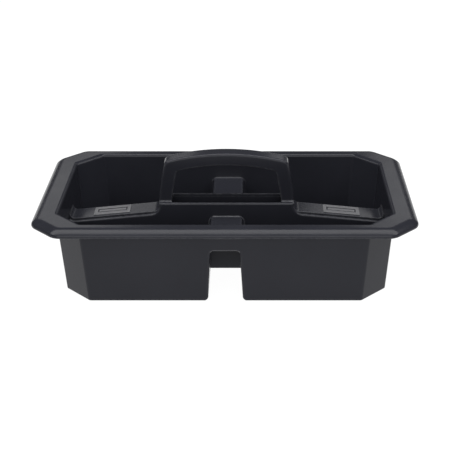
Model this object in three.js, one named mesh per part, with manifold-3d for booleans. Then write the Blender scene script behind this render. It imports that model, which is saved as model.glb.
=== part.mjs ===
// Cleaning caddy: a shallow open tray for a housekeeping cart, with a hollow divider along its
// middle and a fixed arch handle on the divider. Moulded in polypropylene.
// Millimetres, +Z up. The origin is at the middle of the base: +X along the length, +Y to the back.

import * as THREE from "three";
import { mergeVertices } from "three/addons/utils/BufferGeometryUtils.js";
import Module from "manifold-3d";

const wasm = await Module();
wasm.setup();

// Tray: base, walls and rim
const BASE_HALF_LENGTH = 174;
const BASE_HALF_WIDTH = 94.5;
const BASE_EDGE_RADIUS = 1.5;
const CHAMFER = 28; // leg of the 45 degree corner cut of the body
const BODY_CORNER_RADIUS = 6;
const DRAFT = 0.06; // the walls lean out by this much per millimetre of height
const WALL = 2.6;
const FLOOR = 3;
const FLOOR_FILLET = 5;
const RIM_HALF_LENGTH = 203.4;
const RIM_HALF_WIDTH = 117.2;
const RIM_CHAMFER = 28.5;
const RIM_CORNER_RADIUS = 18;
const RIM_TOP = 93;
const LIP_WIDTH = 10.5; // the lip turns down over a quarter ellipse of this width and height
const LIP_HEIGHT = 8.5;
const RIM_THICKNESS = 3;
const FLANGE_CHAMFER = 2; // stiffens the corner between the wall and the rim's underside
const MOUTH_RADIUS = 3.5; // rounding from the rim's flat top into the inner wall

// Tunnels through the front and back walls, and the ridges that they raise inside
const TUNNEL_HALF_WIDTH = 15.6; // at the top
const TUNNEL_HALF_WIDTH_LOW = 18.4; // just above the flared foot
const TUNNEL_HEIGHT = 61;
const TUNNEL_TOP_RADIUS = 3.6;
const TUNNEL_FLARE = 4.5;
const RIDGE_SKIN = 2;

// Divider along the middle
const DIVIDER_HALF_WIDTH = 17.8; // at the base
const DIVIDER_DRAFT = 0.034;
const SKIN = 3;
const SHELF_OUTER_X = 169.5;
const SHELF_OUTER_Z = 60.1;
const SHELF_SLOPE = 0.097; // the shelves rise towards the handle
const SHELF_HALF_WIDTH = 13; // of the raised middle of each shelf, between two narrow ledges
const SHELF_END_FILLET = 5;
const PLATEAU_Z = 79;
const SHELF_LINE = { sideX: 75.3, fillet: 6, drop: 0, top: 78.7 };
const LEDGE_LINE = { sideX: 74.3, fillet: 11, drop: 2.7, top: PLATEAU_Z };
const SLOT_HALF_WIDTH = 12;
const DIVIDER_REBATE = 0.2; // how far the divider's ends are let into the end walls
const PIECE_GAP = 0.3;

// Arch handle, held by a tenon under each leg that passes through the divider's plateau
const TENON_INNER_X = 63.5;
const TENON_OUTER_X = 71.5;
const TENON_HALF_WIDTH = 6.5;
const TENON_DEPTH = 6;
const HANDLE_HALF_WIDTH = 9.2;
const HANDLE_EDGE = 3;
const HANDLE_CREST_Z = 135.5;
const HANDLE_CREST_RADIUS = 260;
const GRIP_UNDERSIDE_Z = 121.8;
const GRIP_UNDERSIDE_RADIUS = 225;
const LEG_OUTER_X = 75.2; // where the leg stands on the plateau
const LEG_INNER_X = 60.8;
// A leg bows from its foot to its shoulder, and the shoulder turns round the corner into the grip's arc.
const OUTER_SIDE = { bow: [73.7, 100], shoulder: [68.4, 123], corner: [67.5, 126.9], gripX: 60 };
const INNER_SIDE = { bow: [58.7, 95], shoulder: [54.9, 112.5], corner: [54.3, 115.2], gripX: 50 };

// Label plates on the shelves
const LABEL_LENGTH = 41;
const LABEL_WIDTH = 20;
const LABEL_THICKNESS = 1.2;
const LABEL_BORDER = 1.5;
const LABEL_BORDER_RISE = 0.4;
const LABEL_CORNER_RADIUS = 1.2;
const LABEL_X = 128.5;
const LABEL_POCKET = 1;

const EIGHTH_TURN = Math.PI / 4;
const QUARTER_TURN = Math.PI / 2;
const CORNER_STEPS = 3;
const OVERSHOOT = 20; // how far cutting solids run past what they cut

// A 45 degree corner cut keeps its width all round when its leg shrinks by this much per millimetre.
const LEG_PER_INSET = 2 - Math.SQRT2;

// ---- Solids from three.js geometry ----

function solid(geometry) {
  const bare = geometry.clone();
  bare.deleteAttribute("normal");
  bare.deleteAttribute("uv");
  const merged = mergeVertices(bare, 1e-4);
  const mesh = new wasm.Mesh({
    numProp: 3,
    vertProperties: merged.attributes.position.array,
    triVerts: new Uint32Array(merged.index.array),
  });
  return new wasm.Manifold(mesh);
}

function geometryOf(body) {
  const mesh = body.getMesh();
  const geometry = new THREE.BufferGeometry();
  geometry.setAttribute("position", new THREE.BufferAttribute(mesh.vertProperties, 3));
  geometry.setIndex(new THREE.BufferAttribute(mesh.triVerts, 1));
  const flat = geometry.toNonIndexed();
  flat.computeVertexNormals();
  return flat;
}

// A rectangle with its four corners cut at 45 degrees and the eight bends rounded, at height z.
function ring(halfLength, halfWidth, chamfer, radius, z) {
  const bends = [
    [halfLength, chamfer - halfWidth],
    [halfLength, halfWidth - chamfer],
    [halfLength - chamfer, halfWidth],
    [chamfer - halfLength, halfWidth],
    [-halfLength, halfWidth - chamfer],
    [-halfLength, chamfer - halfWidth],
    [chamfer - halfLength, -halfWidth],
    [halfLength - chamfer, -halfWidth],
  ];
  const setBack = radius / Math.cos(EIGHTH_TURN / 2);
  return bends.flatMap(([x, y], bend) => {
    const middle = (bend - 0.5) * EIGHTH_TURN;
    const points = [];
    for (let step = 0; step <= CORNER_STEPS; step += 1) {
      const angle = middle + (step / CORNER_STEPS - 0.5) * EIGHTH_TURN;
      const px = x - setBack * Math.cos(middle) + radius * Math.cos(angle);
      const py = y - setBack * Math.sin(middle) + radius * Math.sin(angle);
      points.push(new THREE.Vector3(px, py, z));
    }
    return points;
  });
}

// Closes a stack of rings with equal point counts into a solid: first ring at the bottom outside.
function loft(rings) {
  const count = rings[0].length;
  const points = rings.flat();
  const faces = [];
  for (let level = 0; level + 1 < rings.length; level += 1) {
    for (let i = 0; i < count; i += 1) {
      const a = level * count + i;
      const b = level * count + ((i + 1) % count);
      faces.push(a, b, b + count, a, b + count, a + count);
    }
  }
  const last = (rings.length - 1) * count;
  for (let i = 1; i + 1 < count; i += 1) {
    faces.push(0, i + 1, i);
    faces.push(last, last + i, last + i + 1);
  }
  const geometry = new THREE.BufferGeometry().setFromPoints(points);
  geometry.setIndex(faces);
  return solid(geometry);
}

// Extrudes an outline drawn in X and Z along Y, from nearY to farY.
function alongY(shape, nearY, farY) {
  const geometry = new THREE.ExtrudeGeometry(shape, {
    depth: farY - nearY,
    bevelEnabled: false,
    curveSegments: 5,
  });
  geometry.rotateX(QUARTER_TURN);
  geometry.translate(0, farY, 0);
  return solid(geometry);
}

// Extrudes an outline drawn in Y and Z along X, to halfLength on both sides.
function alongX(shape, halfLength) {
  const geometry = new THREE.ExtrudeGeometry(shape, { depth: 2 * halfLength, bevelEnabled: false });
  geometry.rotateX(QUARTER_TURN);
  geometry.rotateZ(QUARTER_TURN);
  geometry.translate(-halfLength, 0, 0);
  return solid(geometry);
}

function box(halfLength, halfWidth, low, high) {
  const geometry = new THREE.BoxGeometry(2 * halfLength, 2 * halfWidth, high - low);
  geometry.translate(0, 0, (low + high) / 2);
  return solid(geometry);
}

// ---- Tray ----

function bodyRing(offset, z) {
  const grow = offset + DRAFT * z;
  const halfLength = BASE_HALF_LENGTH + grow;
  const halfWidth = BASE_HALF_WIDTH + grow;
  return ring(halfLength, halfWidth, CHAMFER, BODY_CORNER_RADIUS, z);
}

function rimRing(inset, z) {
  const chamfer = RIM_CHAMFER - LEG_PER_INSET * inset;
  const radius = RIM_CORNER_RADIUS - inset;
  return ring(RIM_HALF_LENGTH - inset, RIM_HALF_WIDTH - inset, chamfer, radius, z);
}

// Rings that turn a quarter circle: place(across, up) makes one ring from the two offsets.
function quarterTurn(radius, steps, place) {
  const rings = [];
  for (let step = 0; step <= steps; step += 1) {
    const angle = (step / steps) * QUARTER_TURN;
    rings.push(place(radius * Math.sin(angle), radius * Math.cos(angle)));
  }
  return rings;
}

// The tray's wall, floor and turned-down rim as one closed skin, before tunnels and divider.
function traySkin() {
  const flangeUnder = RIM_TOP - RIM_THICKNESS;
  const lipBottom = RIM_TOP - LIP_HEIGHT;
  const innerWidth = LIP_WIDTH - RIM_THICKNESS;
  const innerHeight = LIP_HEIGHT - RIM_THICKNESS;
  const innerTop = RIM_TOP - MOUTH_RADIUS;
  return loft([
    bodyRing(-BASE_EDGE_RADIUS, 0),
    bodyRing(0, BASE_EDGE_RADIUS),
    bodyRing(0, flangeUnder - FLANGE_CHAMFER),
    bodyRing(FLANGE_CHAMFER, flangeUnder),
    ...quarterTurn(1, 4, (across, up) =>
      rimRing(LIP_WIDTH - innerWidth * across, lipBottom + innerHeight * up),
    ),
    ...quarterTurn(1, 6, (across, up) => rimRing(LIP_WIDTH * (1 - up), lipBottom + LIP_HEIGHT * across)),
    ...quarterTurn(MOUTH_RADIUS, 3, (across, up) => bodyRing(MOUTH_RADIUS - WALL - across, innerTop + up)),
    bodyRing(-WALL, FLOOR + FLOOR_FILLET),
    ...quarterTurn(FLOOR_FILLET, 3, (across, up) =>
      bodyRing(up - WALL - FLOOR_FILLET, FLOOR + FLOOR_FILLET - across),
    ).slice(1),
  ]);
}

// Section of a tunnel, open at the foot, where its edges flare out.
function tunnelShape() {
  const top = TUNNEL_HEIGHT - TUNNEL_TOP_RADIUS;
  const turn = TUNNEL_HALF_WIDTH - TUNNEL_TOP_RADIUS;
  const foot = TUNNEL_HALF_WIDTH_LOW + TUNNEL_FLARE;
  const shape = new THREE.Shape();
  shape.moveTo(-foot, -OVERSHOOT);
  shape.lineTo(foot, -OVERSHOOT);
  shape.absarc(foot, TUNNEL_FLARE, TUNNEL_FLARE, -QUARTER_TURN, -Math.PI, true);
  shape.absarc(turn, top, TUNNEL_TOP_RADIUS, 0, QUARTER_TURN, false);
  shape.absarc(-turn, top, TUNNEL_TOP_RADIUS, QUARTER_TURN, Math.PI, false);
  shape.absarc(-foot, TUNNEL_FLARE, TUNNEL_FLARE, 0, -QUARTER_TURN, true);
  return shape;
}

// Section of the ridge around a tunnel, from inside the floor's thickness up.
function ridgeShape() {
  const radius = TUNNEL_TOP_RADIUS + RIDGE_SKIN;
  const top = TUNNEL_HEIGHT + RIDGE_SKIN - radius;
  const turn = TUNNEL_HALF_WIDTH + RIDGE_SKIN - radius;
  const foot = TUNNEL_HALF_WIDTH_LOW + RIDGE_SKIN;
  const shape = new THREE.Shape();
  shape.moveTo(-foot, FLOOR / 2);
  shape.lineTo(foot, FLOOR / 2);
  shape.absarc(turn, top, radius, 0, QUARTER_TURN, false);
  shape.absarc(-turn, top, radius, QUARTER_TURN, Math.PI, false);
  return shape;
}

// Everything inside the drafted body walls, moved in or out by an offset.
function bodyEnvelope(offset, low, high) {
  return loft([bodyRing(offset, low), bodyRing(offset, high)]);
}

// The divider's section across the tray, grown or shrunk by an offset.
function dividerBand(offset) {
  const halfLow = DIVIDER_HALF_WIDTH + offset;
  const halfHigh = halfLow - DIVIDER_DRAFT * RIM_TOP;
  const outsideDraft = DIVIDER_DRAFT * OVERSHOOT;
  const shape = new THREE.Shape();
  shape.moveTo(-halfLow - outsideDraft, -OVERSHOOT);
  shape.lineTo(halfLow + outsideDraft, -OVERSHOOT);
  shape.lineTo(halfHigh, RIM_TOP);
  shape.lineTo(-halfHigh, RIM_TOP);
  return alongX(shape, RIM_HALF_LENGTH);
}

function tray() {
  const outerY = RIM_HALF_WIDTH + OVERSHOOT;
  const ridges = alongY(ridgeShape(), -outerY, outerY);
  const tunnels = alongY(tunnelShape(), -outerY, outerY);
  const roomEnvelope = bodyEnvelope(DIVIDER_REBATE - WALL, -1, RIM_TOP - RIM_THICKNESS);
  const dividerRoom = dividerBand(PIECE_GAP).intersect(roomEnvelope);
  return traySkin()
    .add(ridges.intersect(bodyEnvelope(-WALL / 2, 0, RIM_TOP - RIM_THICKNESS)))
    .subtract(tunnels)
    .subtract(dividerRoom);
}

// ---- Divider and arch handle ----

function shelfZ(x) {
  return SHELF_OUTER_Z + SHELF_SLOPE * (SHELF_OUTER_X - x);
}

// The divider's outline along the tray: end fillet, sloping shelf, fillet and plateau, mirrored.
// line says how far below the shelf's middle it runs, and where and how it turns up to the plateau.
function dividerShape(line, inset) {
  const tilt = Math.atan(SHELF_SLOPE);
  const outside = BASE_HALF_LENGTH + OVERSHOOT;
  const drop = line.drop + inset;
  const fillet = line.fillet + inset;
  const filletX = line.sideX + line.fillet;
  const tangentX = filletX - fillet * Math.sin(tilt);
  const filletZ = shelfZ(tangentX) - drop + fillet * Math.cos(tilt);
  const endFillet = SHELF_END_FILLET + drop;
  const endZ = SHELF_OUTER_Z + SHELF_END_FILLET;
  const shape = new THREE.Shape();
  shape.moveTo(-outside, -OVERSHOOT);
  shape.lineTo(outside, -OVERSHOOT);
  shape.lineTo(outside, endZ);
  shape.absarc(SHELF_OUTER_X, endZ, endFillet, 0, -QUARTER_TURN - tilt, true);
  shape.absarc(filletX, filletZ, fillet, -QUARTER_TURN - tilt, -Math.PI, true);
  shape.lineTo(filletX - fillet, line.top - inset);
  shape.lineTo(fillet - filletX, line.top - inset);
  shape.absarc(-filletX, filletZ, fillet, 0, tilt - QUARTER_TURN, true);
  shape.absarc(-SHELF_OUTER_X, endZ, endFillet, tilt - QUARTER_TURN, -Math.PI, true);
  shape.lineTo(-outside, endZ);
  return shape;
}

// The ledges' full width and the raised shelves together, with all faces moved in by inset.
function dividerBlock(inset) {
  const outerY = DIVIDER_HALF_WIDTH + OVERSHOOT;
  const shelfY = SHELF_HALF_WIDTH - inset;
  const ledges = alongY(dividerShape(LEDGE_LINE, inset), -outerY, outerY);
  const shelves = alongY(dividerShape(SHELF_LINE, inset), -shelfY, shelfY);
  return ledges.intersect(dividerBand(-inset)).add(shelves);
}

// The arch's outline up one leg and into the grip: side is 1 on the right and -1 on the left.
function climb(shape, side, line, gripZ) {
  shape.quadraticCurveTo(side * line.bow[0], line.bow[1], side * line.shoulder[0], line.shoulder[1]);
  shape.quadraticCurveTo(side * line.corner[0], line.corner[1], side * line.gripX, gripZ);
}

// The same outline from the grip down to the leg's foot.
function descend(shape, side, line, footX) {
  shape.quadraticCurveTo(side * line.corner[0], line.corner[1], side * line.shoulder[0], line.shoulder[1]);
  shape.quadraticCurveTo(side * line.bow[0], line.bow[1], side * footX, PLATEAU_Z + PIECE_GAP);
}

function handleShape() {
  const foot = PLATEAU_Z + PIECE_GAP;
  const crestCentre = HANDLE_CREST_Z - HANDLE_CREST_RADIUS;
  const crestAngle = Math.acos(OUTER_SIDE.gripX / HANDLE_CREST_RADIUS);
  const crestEndZ = crestCentre + HANDLE_CREST_RADIUS * Math.sin(crestAngle);
  const underCentre = GRIP_UNDERSIDE_Z - GRIP_UNDERSIDE_RADIUS;
  const underAngle = Math.acos(INNER_SIDE.gripX / GRIP_UNDERSIDE_RADIUS);
  const underEndZ = underCentre + GRIP_UNDERSIDE_RADIUS * Math.sin(underAngle);
  const shape = new THREE.Shape();
  shape.moveTo(LEG_OUTER_X, foot);
  climb(shape, 1, OUTER_SIDE, crestEndZ);
  shape.absarc(0, crestCentre, HANDLE_CREST_RADIUS, crestAngle, Math.PI - crestAngle, false);
  descend(shape, -1, OUTER_SIDE, LEG_OUTER_X);
  shape.lineTo(-LEG_INNER_X, foot);
  climb(shape, -1, INNER_SIDE, underEndZ);
  shape.absarc(0, underCentre, GRIP_UNDERSIDE_RADIUS, Math.PI - underAngle, underAngle, true);
  descend(shape, 1, INNER_SIDE, LEG_INNER_X);
  return shape;
}

// The block under each leg, grown sideways by gap.
function tenons(gap, low, high) {
  const halfWidth = TENON_HALF_WIDTH + gap;
  const outer = box(TENON_OUTER_X + gap, halfWidth, low, high);
  const inner = box(TENON_INNER_X - gap, halfWidth + 1, low - 1, high + 1);
  return outer.subtract(inner);
}

function handle() {
  const geometry = new THREE.ExtrudeGeometry(handleShape(), {
    depth: 2 * (HANDLE_HALF_WIDTH - HANDLE_EDGE),
    bevelThickness: HANDLE_EDGE,
    bevelSize: HANDLE_EDGE,
    bevelOffset: -HANDLE_EDGE,
    bevelSegments: 2,
    curveSegments: 6,
  });
  geometry.rotateX(QUARTER_TURN);
  geometry.translate(0, HANDLE_HALF_WIDTH - HANDLE_EDGE, 0);
  return solid(geometry).add(tenons(0, PLATEAU_Z - TENON_DEPTH, PLATEAU_Z + 1));
}

function divider() {
  const outerEnvelope = bodyEnvelope(-WALL - PIECE_GAP, 0, RIM_TOP);
  const hollowEnvelope = bodyEnvelope(-WALL - PIECE_GAP - SKIN, -1, RIM_TOP);
  const hollow = dividerBlock(SKIN).intersect(hollowEnvelope);
  const slot = box(LEG_INNER_X, SLOT_HALF_WIDTH, PLATEAU_Z - 2 * SKIN, PLATEAU_Z + 1);
  return dividerBlock(0)
    .intersect(outerEnvelope)
    .subtract(hollow)
    .subtract(slot)
    .subtract(tenons(PIECE_GAP, PLATEAU_Z - 2 * SKIN, PLATEAU_Z + 1))
    .subtract(pocket(-1))
    .subtract(pocket(1));
}

// ---- Label plates ----

function roundedRectangle(length, width, radius) {
  const x = length / 2 - radius;
  const y = width / 2 - radius;
  const shape = new THREE.Shape();
  shape.absarc(x, -y, radius, -QUARTER_TURN, 0, false);
  shape.absarc(x, y, radius, 0, QUARTER_TURN, false);
  shape.absarc(-x, y, radius, QUARTER_TURN, Math.PI, false);
  shape.absarc(-x, -y, radius, Math.PI, Math.PI + QUARTER_TURN, false);
  return shape;
}

function plate(length, width, radius, low, high) {
  const geometry = new THREE.ExtrudeGeometry(roundedRectangle(length, width, radius), {
    depth: high - low,
    bevelEnabled: false,
    curveSegments: 3,
  });
  geometry.translate(0, 0, low);
  return solid(geometry);
}

// A blank plate with a raised border, lying flat with its underside at z = 0.
function labelPlate() {
  const top = LABEL_THICKNESS + LABEL_BORDER_RISE;
  const fieldLength = LABEL_LENGTH - 2 * LABEL_BORDER;
  const fieldWidth = LABEL_WIDTH - 2 * LABEL_BORDER;
  const blank = plate(LABEL_LENGTH, LABEL_WIDTH, LABEL_CORNER_RADIUS, 0, top);
  const field = plate(fieldLength, fieldWidth, LABEL_CORNER_RADIUS / 2, LABEL_THICKNESS, top + 1);
  return blank.subtract(field);
}

// Lays a solid on a shelf: side is 1 for the right shelf and -1 for the left one.
function onShelf(body, side, lift) {
  const degrees = THREE.MathUtils.radToDeg(Math.atan(SHELF_SLOPE));
  return body.rotate(0, side * degrees, 0).translate(side * LABEL_X, 0, shelfZ(LABEL_X) + lift);
}

function pocket(side) {
  const length = LABEL_LENGTH + 2 * PIECE_GAP;
  const width = LABEL_WIDTH + 2 * PIECE_GAP;
  const cutter = plate(length, width, LABEL_CORNER_RADIUS + PIECE_GAP, -LABEL_POCKET, OVERSHOOT);
  return onShelf(cutter, side, 0);
}

// ---- Assembly ----

const blackPlastic = new THREE.MeshStandardMaterial({ color: 0x2a2a2d, roughness: 0.55, metalness: 0 });
const greyPlastic = new THREE.MeshStandardMaterial({ color: 0x77777a, roughness: 0.5, metalness: 0 });

function named(name, body, material) {
  const mesh = new THREE.Mesh(geometryOf(body), material);
  mesh.name = name;
  return mesh;
}

const caddy = new THREE.Group();
const plateLift = PIECE_GAP - LABEL_POCKET;
caddy.add(named("tray", tray(), blackPlastic));
caddy.add(named("divider", divider(), blackPlastic));
caddy.add(named("arch_handle", handle(), blackPlastic));
caddy.add(named("label_plate_left", onShelf(labelPlate(), -1, plateLift), greyPlastic));
caddy.add(named("label_plate_right", onShelf(labelPlate(), 1, plateLift), greyPlastic));

export default caddy;
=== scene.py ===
import math

import bmesh
import bpy
from mathutils import Matrix, Vector


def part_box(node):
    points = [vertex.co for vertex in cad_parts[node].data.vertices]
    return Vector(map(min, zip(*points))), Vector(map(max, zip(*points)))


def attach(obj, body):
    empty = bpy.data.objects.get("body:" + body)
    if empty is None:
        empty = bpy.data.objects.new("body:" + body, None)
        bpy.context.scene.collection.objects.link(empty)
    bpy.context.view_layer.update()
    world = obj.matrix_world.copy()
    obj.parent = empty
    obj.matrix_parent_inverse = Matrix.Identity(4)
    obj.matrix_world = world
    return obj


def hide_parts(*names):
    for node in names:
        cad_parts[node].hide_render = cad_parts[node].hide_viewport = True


# A moulded cleaning caddy: tray with a turned-down rim, hollow divider, arch handle and two blank
# label plates. Lengths are in millimetres until a mesh is made, and meshes are in metres.

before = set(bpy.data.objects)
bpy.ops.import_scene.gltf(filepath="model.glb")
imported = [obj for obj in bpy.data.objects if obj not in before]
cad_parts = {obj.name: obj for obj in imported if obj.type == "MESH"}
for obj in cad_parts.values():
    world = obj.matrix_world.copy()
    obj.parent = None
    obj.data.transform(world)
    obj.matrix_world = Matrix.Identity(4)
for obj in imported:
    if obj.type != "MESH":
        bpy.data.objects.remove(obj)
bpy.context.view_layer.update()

MM = 0.001
QUARTER_TURN = math.pi / 2
EIGHTH_TURN = math.pi / 4

# ---- Driving dimensions, from the frame where it states them ----

tray_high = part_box("tray")[1] / MM
handle_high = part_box("arch_handle")[1] / MM

RIM_HALF_LENGTH = tray_high.x
RIM_HALF_WIDTH = tray_high.y
RIM_TOP = tray_high.z
RIM_CHAMFER = 28.5
RIM_CORNER_RADIUS = 18
LIP_WIDTH = 10.5
LIP_HEIGHT = 8.5
RIM_THICKNESS = 3
LIP_EDGE = 1
LIP_ARCS = ((3.5, 45, 90), (18, 25, 45), (11, 0, 25))  # radius, and tilt at its upper and lower end
FLANGE_FILLET = 2  # between the wall and the rim's underside
MOUTH_RADIUS = 3.5

BASE_HALF_LENGTH = 174
BASE_HALF_WIDTH = 94.5
BASE_EDGE_RADIUS = 1.5
CHAMFER = 28
BODY_CORNER_RADIUS = 4
DRAFT = 0.06
WALL = 2.6
FLOOR = 3
FLOOR_FILLET = 5

TUNNEL_HALF_WIDTH = 15.6
TUNNEL_HALF_WIDTH_LOW = 18.4
TUNNEL_HEIGHT = 61
TUNNEL_TOP_RADIUS = 3.6
TUNNEL_FLARE = 4.5
TUNNEL_EDGE = 2.2
RIDGE_SKIN = 2
RIDGE_CORNER = 2.2
RIDGE_FILLET = 4
RIDGE_ROOT = 2  # how far inside the divider's face a ridge starts
TUNNEL_ROOT = 6  # and a tunnel
FOOT_FILLET = 3

DIVIDER_HALF_WIDTH = 17.8
DIVIDER_DRAFT = 0.034
SKIN = 3
SHELF_OUTER_X = 169.5
SHELF_OUTER_Z = 60.1
SHELF_SLOPE = 0.097
SHELF_HALF_WIDTH = 13
SHELF_END_FILLET = 5
SHELF_EDGE = 0.8
SHELF_ROOT = 20  # how far above the divider's base the shelves' own block starts
LEDGE_EDGE = 1.8
HOLLOW_EDGE = 0.5
HOLLOW_BASE_Z = -4
PLATEAU_Z = 79
SHELF_LINE = {"side_x": 75.3, "fillet": 6, "drop": 0, "top": 78.7, "corner": 0.9}
LEDGE_LINE = {"side_x": 74.3, "fillet": 11, "drop": 2.7, "top": PLATEAU_Z, "corner": 2}
SLOT_HALF_WIDTH = 12
SLOT_BELOW = 9
SLOT_ABOVE = 6
SLOT_LEAN = 1 / 15  # of its ends, which follow the legs' inner faces
ROOM_BELOW_RIM = 10  # how far below the rim the space for the divider ends
ROOM_SPARE = 5  # keeps that space clear of the divider's sides when it trims the ends
TOP_LINE_SPARE = 12  # how far the divider's top line runs past the base before it is trimmed
SEAM = 0.12  # visible gap between tray and divider
HAIRLINE = 0.05  # between the handle and the plateau it stands on

TENON_INNER_X = 63.5
TENON_OUTER_X = 71.5
TENON_HALF_WIDTH = 6.5
TENON_DEPTH = 6
HANDLE_HALF_WIDTH = 9.2
HANDLE_OUTER_EDGE = 3
HANDLE_INNER_EDGE = 1.6
HANDLE_CREST_Z = handle_high.z
HANDLE_CREST_RADIUS = 260
GRIP_UNDERSIDE_Z = 121.8
GRIP_UNDERSIDE_RADIUS = 225
LEG_OUTER_X = 75.2
LEG_INNER_X = 60.8
LEG_FLARE = 2
OUTER_SIDE = {"bow": (73.7, 100), "shoulder": (68.4, 123), "corner": (67.5, 126.9), "grip_x": 60}
INNER_SIDE = {"bow": (58.7, 95), "shoulder": (54.9, 112.5), "corner": (54.3, 115.2), "grip_x": 50}

LABEL_LENGTH = 41
LABEL_WIDTH = 20
LABEL_X = 128.5
LABEL_CORNER = 1.2
LABEL_BORDER = 1.5
LABEL_RISE = 0.9
LABEL_BORDER_RISE = 0.4
LABEL_SUNK = 0.6
LABEL_EDGE = 0.35
FIELD_CORNER = 0.6
FIELD_SLANT = 0.3  # how far the border's inner side leans out
LOOP_LENGTH = 34
LOOP_WIDTH = 9
LOOP_GROOVE = 2.1
LOOP_DEPTH = 0.9
LOOP_OFFSET = 0.8
LOOP_CORNER = 1.2
ISLAND_CORNER = 0.7
ISLAND_EDGE = 0.2
ISLAND_ROOT = 0.4
ISLAND_DROP = 0.05  # of the loop's inside below the field around it

OVERSHOOT = 10  # how far cutting solids run past what they cut
BEND_STEPS = 8
HANDLE_STEPS = 12
SMOOTH_ANGLE = 32  # degrees, above which an edge stays a crease

# ---- Looks and stage, with lengths in metres except for the lens and its sensor ----

# The lighter second colour of each look goes on edges and creases: partly wear, partly a painted highlight.
TRAY_LOOK = {"colour": (0.014, 0.0145, 0.0187), "wear_and_highlight_colour": (0.05, 0.051, 0.057), "roughness": 0.19}
LABEL_LOOK = {"colour": (0.075, 0.075, 0.08), "wear_and_highlight_colour": (0.13, 0.13, 0.135), "roughness": 0.3}
GLOSS = 0.16  # specular level of both plastics, where 0.5 is usual
GRAIN = 0.12
GRAIN_DEPTH = 0.0001
# How far from an edge the lighter colour reaches: wide enough to paint highlights on rounded edges as well
# as mark wear.
EDGE_WEAR_AND_HIGHLIGHT_RADIUS = 0.003

FLOOR_SIZE = 80
FLOOR_TONE = 0.1
FLOOR_GLOW = 0.97
WORLD_GLOW = 0.08

CAMERA_PLACE = (0.0305, -1.1245, 0.5743)
CAMERA_TILT = 25.18  # degrees below the horizon
CAMERA_LENS = 87.7  # millimetres, as is the sensor's width
CAMERA_SENSOR = 36
CAMERA_SHIFT = -0.0644


# ---- Mesh helpers ----


def new_object(name, mesh):
    made = bpy.data.objects.new(name, mesh)
    bpy.context.scene.collection.objects.link(made)
    return made


def closed(name, points, faces):
    """An object from a closed surface, with its normals turned outwards."""
    mesh = bpy.data.meshes.new(name)
    mesh.from_pydata(points, [], faces)
    work = bmesh.new()
    work.from_mesh(mesh)
    bmesh.ops.remove_doubles(work, verts=work.verts, dist=1e-6)
    bmesh.ops.recalc_face_normals(work, faces=work.faces)
    work.to_mesh(mesh)
    work.free()
    return new_object(name, mesh)


def loft(name, rings):
    """A closed solid through rings of equal point counts, with flat caps."""
    count = len(rings[0])
    points = [Vector(p) * MM for loop in rings for p in loop]
    faces = []
    for level in range(len(rings) - 1):
        for i in range(count):
            a = level * count + i
            b = level * count + (i + 1) % count
            faces.append((a, b, b + count, a + count))
    last = (len(rings) - 1) * count
    faces.append(tuple(range(count - 1, -1, -1)))
    faces.append(tuple(range(last, last + count)))
    return closed(name, points, faces)


def combine(target, tool, operation):
    """Applies a boolean of target with tool, and removes tool."""
    modifier = target.modifiers.new("combine", "BOOLEAN")
    modifier.operation = operation
    modifier.solver = "MANIFOLD"
    modifier.object = tool
    settle(target)
    bpy.data.objects.remove(tool)


def settle(target):
    """Turns the object's modifiers into its mesh."""
    graph = bpy.context.evaluated_depsgraph_get()
    made = bpy.data.meshes.new_from_object(target.evaluated_get(graph))
    target.modifiers.clear()
    old = target.data
    target.data = made
    bpy.data.meshes.remove(old)


def on_circle(centre, radius, degrees):
    angle = math.radians(degrees)
    return centre[0] + radius * math.cos(angle), centre[1] + radius * math.sin(angle)


def arc(centre, radius, start, end, steps):
    """Points on an arc in a plane, angles in degrees, both ends included."""
    return [on_circle(centre, radius, start + (end - start) * step / steps) for step in range(steps + 1)]


def concave(radius, steps):
    """(distance from the wall, growth) along a fillet that runs up to a wall."""
    pairs = []
    for step in range(steps + 1):
        angle = QUARTER_TURN * step / steps
        pairs.append((radius * (1 - math.sin(angle)), radius * (1 - math.cos(angle))))
    return pairs


def ring(half_length, half_width, chamfer, radius, z):
    """A rectangle with 45 degree corner cuts and rounded bends, at height z."""
    bends = [
        (half_length, chamfer - half_width),
        (half_length, half_width - chamfer),
        (half_length - chamfer, half_width),
        (chamfer - half_length, half_width),
        (-half_length, half_width - chamfer),
        (-half_length, chamfer - half_width),
        (chamfer - half_length, -half_width),
        (half_length - chamfer, -half_width),
    ]
    set_back = radius / math.cos(EIGHTH_TURN / 2)
    points = []
    for bend, (x, y) in enumerate(bends):
        middle = (bend - 0.5) * 45
        centre = (
            x - set_back * math.cos(math.radians(middle)),
            y - set_back * math.sin(math.radians(middle)),
        )
        bend_arc = arc(centre, radius, middle - 22.5, middle + 22.5, BEND_STEPS)
        points += [(px, py, z) for px, py in bend_arc]
    return points


def finish_mesh(piece):
    """Merges stray vertices, then shades smoothly with creases and face-weighted normals."""
    work = bmesh.new()
    work.from_mesh(piece.data)
    bmesh.ops.remove_doubles(work, verts=work.verts, dist=2e-6)
    bmesh.ops.dissolve_degenerate(work, edges=work.edges, dist=2e-6)
    bmesh.ops.recalc_face_normals(work, faces=work.faces)
    work.to_mesh(piece.data)
    work.free()
    piece.data.shade_smooth()
    piece.data.set_sharp_from_angle(angle=math.radians(SMOOTH_ANGLE))
    weighted = piece.modifiers.new("weighted", "WEIGHTED_NORMAL")
    weighted.mode = "FACE_AREA"
    weighted.weight = 100
    weighted.keep_sharp = True
    settle(piece)


# ---- Tray ----


def body_ring(offset, z):
    """The body's outline at height z, moved out by offset."""
    grow = offset + DRAFT * z
    half_length = BASE_HALF_LENGTH + grow
    half_width = BASE_HALF_WIDTH + grow
    return ring(half_length, half_width, CHAMFER, BODY_CORNER_RADIUS, z)


def rim_ring(inset, z):
    """The rim's outline moved in by inset, with corner cuts that stay parallel."""
    chamfer = RIM_CHAMFER - (2 - math.sqrt(2)) * inset
    radius = RIM_CORNER_RADIUS - inset
    return ring(RIM_HALF_LENGTH - inset, RIM_HALF_WIDTH - inset, chamfer, radius, z)


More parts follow.
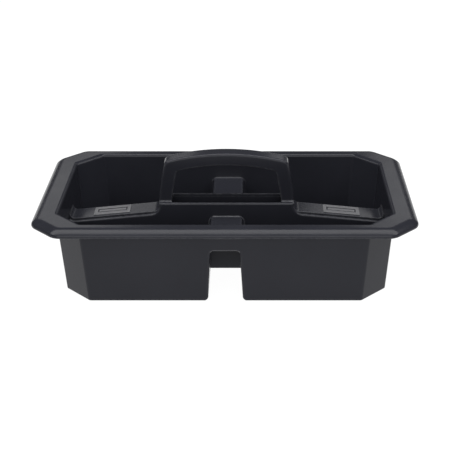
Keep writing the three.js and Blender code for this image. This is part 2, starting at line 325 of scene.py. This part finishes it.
def lip_slope():
    """(inset, z) from the lip's outermost line up to the flat of the rim."""
    steps = 8
    tilts = [(radius, math.radians(low), math.radians(high)) for radius, low, high in LIP_ARCS]
    inset = 0
    z = RIM_TOP - sum(radius * (math.cos(low) - math.cos(high)) for radius, low, high in tilts)
    points = []
    for radius, low, high in tilts:
        for step in range(1, steps + 1):
            tilt = high + (low - high) * step / steps
            across = radius * (math.sin(high) - math.sin(tilt))
            up = radius * (math.cos(tilt) - math.cos(high))
            points.append((inset + across, z + up))
        inset, z = points[-1]
    return points


def tray_skin():
    """The tray without ridges or tunnels, from its base up outside, round the lip and down inside."""
    flange_under = RIM_TOP - RIM_THICKNESS
    lip_bottom = RIM_TOP - LIP_HEIGHT
    inner_width = LIP_WIDTH - RIM_THICKNESS
    inner_height = LIP_HEIGHT - RIM_THICKNESS
    rings = []
    for across, z in arc((BASE_EDGE_RADIUS, BASE_EDGE_RADIUS), BASE_EDGE_RADIUS, 270, 180, 4):
        rings.append(body_ring(-across, z))
    under_flange = (FLANGE_FILLET, flange_under - FLANGE_FILLET)
    for offset, z in arc(under_flange, FLANGE_FILLET, 180, 90, 4):
        rings.append(body_ring(offset, z))
    # the flange's underside and the lip's inside, which is most of a quarter ellipse
    for across, up in arc((0, 0), 1, 90, 170, 8):
        rings.append(rim_ring(LIP_WIDTH + inner_width * across, lip_bottom + inner_height * up))
    for inset, z in arc((RIM_THICKNESS - LIP_EDGE, lip_bottom + LIP_EDGE), LIP_EDGE, 0, -90, 3):
        rings.append(rim_ring(inset, z))
    for inset, z in arc((LIP_EDGE, lip_bottom + LIP_EDGE), LIP_EDGE, 270, 180, 3):
        rings.append(rim_ring(inset, z))
    for inset, z in lip_slope():
        rings.append(rim_ring(inset, z))
    mouth = (MOUTH_RADIUS - WALL, RIM_TOP - MOUTH_RADIUS)
    for offset, z in arc(mouth, MOUTH_RADIUS, 90, 180, 8):
        rings.append(body_ring(offset, z))
    corner = (-WALL - FLOOR_FILLET, FLOOR + FLOOR_FILLET)
    for offset, z in arc(corner, FLOOR_FILLET, 0, -90, 8):
        rings.append(body_ring(offset, z))
    return loft("tray_shell", rings)


def foot_fillet(x):
    """A fillet from below the floor's surface up to a side that stands at x."""
    centre_x = x + FOOT_FILLET
    centre_z = FLOOR + FOOT_FILLET * math.cos(math.radians(15))
    return [(centre_x, FLOOR / 2)] + arc((centre_x, centre_z), FOOT_FILLET, 265, 180, 7)


def ridge_profile(grown):
    """Section of a ridge from its right foot over the top to its left foot, rounder where it has grown."""
    radius = RIDGE_CORNER + 2 * grown
    turn = TUNNEL_HALF_WIDTH + RIDGE_SKIN + grown - radius
    top = TUNNEL_HEIGHT + RIDGE_SKIN + grown / 2 - radius
    right = foot_fillet(TUNNEL_HALF_WIDTH_LOW + RIDGE_SKIN + grown)
    right += arc((turn, top), radius, 0, 90, 8)
    left = [(-x, z) for x, z in reversed(right)]
    return right + left


def divider_face(z):
    return DIVIDER_HALF_WIDTH - DIVIDER_DRAFT * z


def inner_wall(z):
    return BASE_HALF_WIDTH - WALL + DRAFT * z


def outer_wall(z):
    return BASE_HALF_WIDTH + DRAFT * z


def ridge(side):
    """The ridge over one tunnel, filleted where it meets the divider and the wall."""
    rings = []
    fillet = concave(RIDGE_FILLET, 7)
    stations = [(-RIDGE_ROOT, RIDGE_FILLET)] + fillet[::-1]
    for away, grown in stations:
        rings.append([(x, side * (divider_face(z) + away), z) for x, z in ridge_profile(grown)])
    for away, grown in fillet + [(-WALL / 2, RIDGE_FILLET)]:
        rings.append([(x, side * (inner_wall(z) - away), z) for x, z in ridge_profile(grown)])
    return loft("ridge", rings)


def tunnel_profile(grown):
    """Section of a tunnel, with a foot that flares out to the base."""
    radius = TUNNEL_TOP_RADIUS + grown
    turn = TUNNEL_HALF_WIDTH + grown - radius
    top = TUNNEL_HEIGHT + grown - radius
    foot = TUNNEL_HALF_WIDTH_LOW + grown + TUNNEL_FLARE
    right = [(foot, -OVERSHOOT)]
    right += arc((foot, TUNNEL_FLARE), TUNNEL_FLARE, 262, 180, 7)
    right += arc((turn, top), radius, 0, 90, 6)
    left = [(-x, z) for x, z in reversed(right)]
    return right + left


def tunnel(side):
    """The space of one tunnel, with a mouth that rounds the wall's edge."""
    rings = [[(x, side * (divider_face(z) - TUNNEL_ROOT), z) for x, z in tunnel_profile(0)]]
    for away, grown in concave(TUNNEL_EDGE, 4) + [(-2 * OVERSHOOT, TUNNEL_EDGE)]:
        rings.append([(x, side * (outer_wall(z) - away), z) for x, z in tunnel_profile(grown)])
    return loft("tunnel", rings)


def divider_foot():
    """A low upstand on the floor that the divider's sides stand in."""
    right = foot_fillet(divider_face(FLOOR) + SEAM)
    left = [(-y, z) for y, z in reversed(right)]
    reach = BASE_HALF_LENGTH - WALL / 2
    return loft("foot", [[(x, y, z) for y, z in right + left] for x in (-reach, reach)])


def divider_room(seam):
    """The space that the divider fills between the end walls."""
    rings = []
    for z in (-OVERSHOOT, RIM_TOP - ROOM_BELOW_RIM):
        x = BASE_HALF_LENGTH - WALL + DRAFT * z
        y = divider_face(z) + seam
        rings.append([(x, -y, z), (x, y, z), (-x, y, z), (-x, -y, z)])
    return loft("room", rings)


def make_tray():
    tray = tray_skin()
    for side in (-1, 1):
        combine(tray, ridge(side), "UNION")
    combine(tray, divider_foot(), "UNION")
    for side in (-1, 1):
        combine(tray, tunnel(side), "DIFFERENCE")
    combine(tray, divider_room(SEAM), "DIFFERENCE")
    finish_mesh(tray)
    return tray


# ---- Divider ----


def shelf_z(x):
    return SHELF_OUTER_Z + SHELF_SLOPE * (SHELF_OUTER_X - x)


def top_line(line, inset):
    """Half of the divider's top line, from past the end wall to the plateau: (x, z, normal's angle)."""
    tilt = math.degrees(math.atan(SHELF_SLOPE))
    drop = line["drop"] + inset
    fillet = line["fillet"] + inset
    fillet_x = line["side_x"] + line["fillet"]
    fillet_z = shelf_z(fillet_x - fillet * math.sin(math.radians(tilt))) - drop
    fillet_z += fillet * math.cos(math.radians(tilt))
    end_fillet = SHELF_END_FILLET + drop
    end_z = SHELF_OUTER_Z + SHELF_END_FILLET
    path = [(BASE_HALF_LENGTH + TOP_LINE_SPARE, end_z, 180)]
    steps = 9
    for step in range(steps + 1):
        angle = (-90 - tilt) * step / steps
        x, z = on_circle((SHELF_OUTER_X, end_z), end_fillet, angle)
        path.append((x, z, angle + 180))
    steps = 14
    for step in range(steps + 1):
        angle = -90 - tilt + (-90 + tilt) * step / steps
        x, z = on_circle((fillet_x, fillet_z), fillet, angle)
        path.append((x, z, angle + 180))
    corner = line["corner"]
    steps = 6
    for step in range(steps + 1):
        angle = 90 * step / steps
        x, z = on_circle((fillet_x - fillet - corner, line["top"] - inset - corner), corner, angle)
        path.append((x, z, angle))
    return path


def top_sections(path, half_width, edge, steps=5):
    """Sections across a top line and its mirror image, with rounded upper edges."""
    sections = []
    for x, z, angle in path + [(-x, z, 180 - angle) for x, z, angle in reversed(path)]:
        nx = math.cos(math.radians(angle))
        nz = math.sin(math.radians(angle))
        inner_x = x - edge * nx
        inner_z = z - edge * nz
        half = half_width(inner_z) - edge
        near = []
        for turn in range(steps + 1):
            angle_y = QUARTER_TURN * turn / steps
            lift = edge * math.sin(angle_y)
            near.append((inner_x + lift * nx, -half - edge * math.cos(angle_y), inner_z + lift * nz))
        sections.append(near + [(px, -py, pz) for px, py, pz in reversed(near)])
    return sections


def under_top(name, sections, half_width, base_z):
    """The solid between sections along a top line and a flat base at base_z."""
    count = len(sections[0])
    levels = len(sections)
    points = [Vector(p) * MM for section in sections for p in section]
    faces = []
    for level in range(levels - 1):
        for i in range(count - 1):
            a = level * count + i
            faces.append((a, a + count, a + count + 1, a + 1))
    corners = []
    for x in (sections[0][0][0], sections[-1][0][0]):
        for y in (-half_width(base_z), half_width(base_z)):
            corners.append(len(points))
            points.append(Vector((x, y, base_z)) * MM)
    last = (levels - 1) * count
    near = [level * count for level in range(levels)]
    far = [level * count + count - 1 for level in range(levels)]
    faces.append(tuple(near[::-1] + [corners[0], corners[2]]))
    faces.append(tuple(far + [corners[3], corners[1]]))
    faces.append(tuple(list(range(count)) + [corners[1], corners[0]]))
    faces.append(tuple(list(range(last + count - 1, last - 1, -1)) + [corners[2], corners[3]]))
    faces.append((corners[0], corners[1], corners[3], corners[2]))
    return closed(name, points, faces)


def divider_block(inset, ledge_edge, shelf_edge, base_z):
    """The ledges' full width and the raised shelves together, with all faces moved in by inset."""

    def ledge_half(z):
        return divider_face(z) - inset

    def shelf_half(z):
        """The same at every height, unlike the ledges."""
        return SHELF_HALF_WIDTH - inset

    ledge_sections = top_sections(top_line(LEDGE_LINE, inset), ledge_half, ledge_edge)
    shelf_sections = top_sections(top_line(SHELF_LINE, inset), shelf_half, shelf_edge)
    block = under_top("divider", ledge_sections, ledge_half, base_z)
    shelves = under_top("shelf", shelf_sections, shelf_half, base_z + SHELF_ROOT)
    combine(block, shelves, "UNION")
    return block


def slot_cutter():
    """Cuts the plateau between the legs, with ends that follow the legs' inner faces."""
    rings = []
    y = SLOT_HALF_WIDTH
    for rise in (-SLOT_BELOW, SLOT_ABOVE):
        x = LEG_INNER_X - SLOT_LEAN * rise
        z = PLATEAU_Z + rise
        rings.append([(x, -y, z), (x, y, z), (-x, y, z), (-x, -y, z)])
    return loft("slot", rings)


def tenon(side, gap, low, high):
    """The block under one leg, grown sideways by gap."""
    near_x = side * (TENON_INNER_X - gap)
    far_x = side * (TENON_OUTER_X + gap)
    y = TENON_HALF_WIDTH + gap
    corners = ((near_x, -y), (far_x, -y), (far_x, y), (near_x, y))
    return loft("tenon", [[(cx, cy, z) for cx, cy in corners] for z in (low, high)])


def hollow_ends():
    """The space that the divider's hollow keeps to, a skin's thickness inside the end walls."""
    half_width = 3 * OVERSHOOT
    rings = []
    for z in (-OVERSHOOT, RIM_TOP):
        x = BASE_HALF_LENGTH - WALL - SKIN + DRAFT * z
        rings.append([(x, -half_width, z), (x, half_width, z), (-x, half_width, z), (-x, -half_width, z)])
    return loft("hollow_ends", rings)


def make_divider():
    divider = divider_block(0, LEDGE_EDGE, SHELF_EDGE, 0)
    ends = divider_room(ROOM_SPARE)
    ends.scale = (1 - SEAM / BASE_HALF_LENGTH, 1, 1)
    combine(divider, ends, "INTERSECT")
    hollow = divider_block(SKIN, HOLLOW_EDGE, HOLLOW_EDGE, HOLLOW_BASE_Z)
    combine(hollow, hollow_ends(), "INTERSECT")
    combine(divider, hollow, "DIFFERENCE")
    combine(divider, slot_cutter(), "DIFFERENCE")
    for side in (-1, 1):
        combine(divider, tenon(side, SEAM, PLATEAU_Z - 2 * SKIN, PLATEAU_Z + 1), "DIFFERENCE")
    finish_mesh(divider)
    return divider


# ---- Arch handle ----


def on_curve(start, line, part, end, t):
    """A point on the leg or on the shoulder of one side of the arch."""
    middle = line["bow"] if part == "leg" else line["corner"]
    first = start if part == "leg" else line["shoulder"]
    last = line["shoulder"] if part == "leg" else end
    return tuple(p * (1 - t) ** 2 + 2 * q * t * (1 - t) + r * t * t for p, q, r in zip(first, middle, last))


def arch_z(x, top, radius):
    return top - radius + math.sqrt(radius**2 - x * x)


def crest_z(x):
    return arch_z(x, HANDLE_CREST_Z, HANDLE_CREST_RADIUS)


def underside_z(x):
    return arch_z(x, GRIP_UNDERSIDE_Z, GRIP_UNDERSIDE_RADIUS)


def handle_stations():
    """Outer point, inner point and flare from the right foot to the crest."""
    foot_z = PLATEAU_Z + HAIRLINE
    outer_foot = (LEG_OUTER_X, foot_z)
    inner_foot = (LEG_INNER_X, foot_z)
    outer_grip = (OUTER_SIDE["grip_x"], crest_z(OUTER_SIDE["grip_x"]))
    inner_grip = (INNER_SIDE["grip_x"], underside_z(INNER_SIDE["grip_x"]))
    leg_height = OUTER_SIDE["shoulder"][1] - foot_z
    places = [("leg", away / leg_height, grown) for away, grown in reversed(concave(LEG_FLARE, 6))]
    flare_end = LEG_FLARE / leg_height
    steps = range(1, HANDLE_STEPS + 1)
    places += [("leg", flare_end + (1 - flare_end) * step / HANDLE_STEPS, 0) for step in steps]
    places += [("shoulder", step / HANDLE_STEPS, 0) for step in steps]
    stations = []
    for part, t, grown in places:
        outer = on_curve(outer_foot, OUTER_SIDE, part, outer_grip, t)
        inner = on_curve(inner_foot, INNER_SIDE, part, inner_grip, t)
        stations.append((outer, inner, grown))
    for step in steps:
        x_outer = outer_grip[0] * (1 - step / HANDLE_STEPS)
        x_inner = inner_grip[0] * (1 - step / HANDLE_STEPS)
        stations.append(((x_outer, crest_z(x_outer)), (x_inner, underside_z(x_inner)), 0))
    return stations


def handle_section(outer, inner, grown):
    """A rounded rectangle between an outer and an inner point of the arch, grown to front and back."""
    outer = Vector(outer)
    inner = Vector(inner)
    across = (outer - inner).normalized()
    half = (outer - inner).length / 2
    middle = (outer + inner) / 2
    half_y = HANDLE_HALF_WIDTH + grown
    points = []
    for centre_u, centre_y, radius, start in (
        (half - HANDLE_OUTER_EDGE, half_y - HANDLE_OUTER_EDGE, HANDLE_OUTER_EDGE, 0),
        (HANDLE_INNER_EDGE - half, half_y - HANDLE_INNER_EDGE, HANDLE_INNER_EDGE, 90),
        (HANDLE_INNER_EDGE - half, HANDLE_INNER_EDGE - half_y, HANDLE_INNER_EDGE, 180),
        (half - HANDLE_OUTER_EDGE, HANDLE_OUTER_EDGE - half_y, HANDLE_OUTER_EDGE, 270),
    ):
        for u, y in arc((centre_u, centre_y), radius, start, start + 90, 7):
            spot = middle + across * u
            points.append((spot.x, y, spot.y))
    return points


def make_handle():
    half = handle_stations()
    mirrored = [((-o[0], o[1]), (-i[0], i[1]), g) for o, i, g in reversed(half[:-1])]
    handle = loft("handle", [handle_section(*station) for station in half + mirrored])
    for side in (-1, 1):
        combine(handle, tenon(side, 0, PLATEAU_Z - TENON_DEPTH, PLATEAU_Z + 4), "UNION")
    finish_mesh(handle)
    return handle


# ---- Label plates ----


def rounded_ring(length, width, radius, z):
    x = length / 2 - radius
    y = width / 2 - radius
    points = []
    for cx, cy, start in ((x, y, 0), (-x, y, 90), (-x, -y, 180), (x, -y, 270)):
        points += [(px, py, z) for px, py in arc((cx, cy), radius, start, start + 90, 5)]
    return points


def rounded_plate(name, length, width, radius, low, high, edge):
    """A flat plate with a rounded upper edge."""
    rings = [rounded_ring(length, width, radius, low)]
    for inset, z in arc((edge, high - edge), edge, 180, 90, 3):
        rings.append(rounded_ring(length - 2 * inset, width - 2 * inset, radius - inset, z))
    return loft(name, rings)


def make_label(side):
    """A blank plate: raised border, and a groove in an oblong loop where a name would stand."""
    field_z = LABEL_RISE - LABEL_BORDER_RISE
    size = (LABEL_LENGTH, LABEL_WIDTH, LABEL_CORNER)
    plate = rounded_plate("plate", *size, -LABEL_SUNK, LABEL_RISE, LABEL_EDGE)
    inner_length = LABEL_LENGTH - 2 * LABEL_BORDER
    inner_width = LABEL_WIDTH - 2 * LABEL_BORDER
    wider = 2 * FIELD_SLANT
    above = LABEL_RISE + 0.1
    field = [
        rounded_ring(inner_length, inner_width, FIELD_CORNER, field_z),
        rounded_ring(inner_length + wider, inner_width + wider, FIELD_CORNER + FIELD_SLANT, above),
    ]
    combine(plate, loft("field", field), "DIFFERENCE")
    levels = (field_z - LOOP_DEPTH, LABEL_RISE)
    groove = loft("groove", [rounded_ring(LOOP_LENGTH, LOOP_WIDTH, LOOP_CORNER, z) for z in levels])
    size = (LOOP_LENGTH - 2 * LOOP_GROOVE, LOOP_WIDTH - 2 * LOOP_GROOVE, ISLAND_CORNER)
    island = rounded_plate("island", *size, -ISLAND_ROOT, field_z - ISLAND_DROP, ISLAND_EDGE)
    groove.location = (0, LOOP_OFFSET * MM, 0)
    island.location = (0, LOOP_OFFSET * MM, 0)
    combine(plate, groove, "DIFFERENCE")
    combine(plate, island, "UNION")
    finish_mesh(plate)
    place = Matrix.Translation(Vector((side * LABEL_X, 0, shelf_z(LABEL_X))) * MM)
    plate.matrix_world = place @ Matrix.Rotation(side * math.atan(SHELF_SLOPE), 4, "Y")
    return plate


# ---- Materials ----


def shader(name):
    made = bpy.data.materials.new(name)
    made.use_nodes = True
    return made, made.node_tree.nodes["Principled BSDF"]


def noise(nodes, links, coordinates, scale, detail, roughness=0.5):
    made = nodes.new("ShaderNodeTexNoise")
    made.inputs["Scale"].default_value = scale
    made.inputs["Detail"].default_value = detail
    made.inputs["Roughness"].default_value = roughness
    links.new(coordinates, made.inputs["Vector"])
    return made.outputs["Fac"]


def mapped(nodes, links, value, source, target):
    """Takes a value from the range source to the range target, and clamps it there."""
    made = nodes.new("ShaderNodeMapRange")
    made.inputs["From Min"].default_value = source[0]
    made.inputs["From Max"].default_value = source[1]
    made.inputs["To Min"].default_value = target[0]
    made.inputs["To Max"].default_value = target[1]
    links.new(value, made.inputs["Value"])
    return made.outputs["Result"]


def mixed(nodes, links, share, under, over):
    """Lays a share of the colour over on under, which is a colour or a node's output."""
    made = nodes.new("ShaderNodeMix")
    made.data_type = "RGBA"
    if isinstance(under, tuple):
        made.inputs[6].default_value = (*under, 1)
    else:
        links.new(under, made.inputs[6])
    made.inputs[7].default_value = (*over, 1)
    links.new(share, made.inputs[0])
    return made.outputs[2]


def maths(nodes, links, operation, first, second):
    """Joins a node's output with a number or another output."""
    made = nodes.new("ShaderNodeMath")
    made.operation = operation
    links.new(first, made.inputs[0])
    if isinstance(second, float):
        made.inputs[1].default_value = second
    else:
        links.new(second, made.inputs[1])
    return made


def lighter(colour, factor):
    return tuple(part * factor for part in colour)


def moulded_plastic(name, colour, wear_and_highlight_colour, roughness):
    """Moulded plastic: spark-eroded grain, flow marks and fine scuffs, with edges and creases lighter in
    scuffed patches, partly as wear and partly as a painted highlight.
    """
    made, principled = shader(name)
    nodes = made.node_tree.nodes
    links = made.node_tree.links
    place = nodes.new("ShaderNodeTexCoord").outputs["Object"]
    clouds = noise(nodes, links, place, scale=16, detail=5)
    grain = noise(nodes, links, place, scale=1100, detail=2, roughness=0.6)
    scuffs = noise(nodes, links, place, scale=260, detail=6, roughness=0.7)

    # Edges and creases within the bevel radius take the lighter colour in scuffed patches: partly wear,
    # partly a painted highlight along rounded edges.
    bevel = nodes.new("ShaderNodeBevel")
    bevel.samples = 4
    bevel.inputs["Radius"].default_value = EDGE_WEAR_AND_HIGHLIGHT_RADIUS
    true_normal = nodes.new("ShaderNodeNewGeometry").outputs["Normal"]
    agreement = nodes.new("ShaderNodeVectorMath")
    agreement.operation = "DOT_PRODUCT"
    links.new(bevel.outputs["Normal"], agreement.inputs[0])
    links.new(true_normal, agreement.inputs[1])
    edges = mapped(nodes, links, agreement.outputs["Value"], (0.99, 0.88), (0, 1))
    patches = mapped(nodes, links, scuffs, (0.35, 0.55), (0, 1))
    wear_and_highlight_mask = maths(nodes, links, "MULTIPLY", edges, patches)

    flow = mapped(nodes, links, clouds, (0.3, 0.7), (0, 1))
    tint = mixed(nodes, links, flow, colour, lighter(colour, 1.15))
    tint_with_wear_and_highlight = mixed(nodes, links, wear_and_highlight_mask.outputs["Value"], tint, wear_and_highlight_colour)
    links.new(tint_with_wear_and_highlight, principled.inputs["Base Color"])

    blend = maths(nodes, links, "MULTIPLY_ADD", scuffs, 0.5)
    links.new(clouds, blend.inputs[2])
    matt = mapped(nodes, links, blend.outputs["Value"], (0.5, 1), (roughness - 0.04, roughness + 0.05))
    links.new(matt, principled.inputs["Roughness"])
    bump = nodes.new("ShaderNodeBump")
    bump.inputs["Strength"].default_value = GRAIN
    bump.inputs["Distance"].default_value = GRAIN_DEPTH
    links.new(grain, bump.inputs["Height"])
    links.new(bump.outputs["Normal"], principled.inputs["Normal"])
    principled.inputs["Specular IOR Level"].default_value = GLOSS
    return made


# ---- Stage ----


def make_floor():
    """A white floor that gives its own light, as a backdrop lit from behind does."""
    bpy.ops.mesh.primitive_plane_add(size=FLOOR_SIZE)
    floor = bpy.context.object
    floor.name = "floor"
    made, principled = shader("pale_floor")
    principled.inputs["Base Color"].default_value = (FLOOR_TONE, FLOOR_TONE, FLOOR_TONE, 1)
    principled.inputs["Roughness"].default_value = 0.9
    principled.inputs["Specular IOR Level"].default_value = 0
    principled.inputs["Emission Color"].default_value = (1, 1, 1, 1)
    principled.inputs["Emission Strength"].default_value = FLOOR_GLOW
    floor.data.materials.append(made)


def softbox(name, position, target, size, radiance):
    """A rectangular light whose power follows from its area and radiance, unseen by the camera."""
    data = bpy.data.lights.new(name, "AREA")
    data.shape = "RECTANGLE"
    data.size = size[0]
    data.size_y = size[1]
    data.energy = radiance * size[0] * size[1] * math.pi
    made = new_object(name, data)
    made.location = position
    made.rotation_euler = (Vector(target) - Vector(position)).to_track_quat("-Z", "Y").to_euler()
    made.visible_camera = False
    return made


def make_lights():
    """A strip overhead, two boxes in front, and two boxes behind with a dark gap between."""
    softbox("overhead", (0, -0.05, 1.4), (0, -0.05, 0), (3.6, 0.8), 5.3)
    softbox("front_top", (0, -0.9, 1.4), (0, 0, 0), (2.4, 0.8), 1)
    softbox("front", (0, -2.2, 1.0), (0, 0, 0.1), (3.0, 1.2), 3.3)
    for side in (-1, 1):
        softbox("back", (side * 0.8, 1.9, 1.0), (side * 0.8, 0, 0.1), (0.85, 0.45), 1.1)
    world = bpy.data.worlds.new("studio")
    world.use_nodes = True
    background = world.node_tree.nodes["Background"]
    background.inputs["Color"].default_value = (1, 1, 1, 1)
    background.inputs["Strength"].default_value = WORLD_GLOW
    bpy.context.scene.world = world
    bpy.context.scene.view_settings.view_transform = "Standard"


def make_camera():
    data = bpy.data.cameras.new("camera")
    data.lens = CAMERA_LENS
    data.sensor_width = CAMERA_SENSOR
    data.shift_x = CAMERA_SHIFT
    made = new_object("camera", data)
    made.location = CAMERA_PLACE
    made.rotation_euler = (math.radians(90 - CAMERA_TILT), 0, 0)
    bpy.context.scene.camera = made


# ---- Assembly ----

make_camera()
make_floor()
make_lights()

plastics = {
    "tray_plastic": moulded_plastic("tray_plastic", **TRAY_LOOK),
    "label_plastic": moulded_plastic("label_plastic", **LABEL_LOOK),
}
pieces = [
    (make_tray(), "tray", "tray_plastic"),
    (make_divider(), "divider", "tray_plastic"),
    (make_handle(), "arch_handle", "tray_plastic"),
    (make_label(-1), "label_plate_left", "label_plastic"),
    (make_label(1), "label_plate_right", "label_plastic"),
]
for piece, node, slot in pieces:
    piece.name = "visual_" + node
    piece.data.materials.clear()
    piece.data.materials.append(plastics[slot])
    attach(piece, "root")
    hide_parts(node)
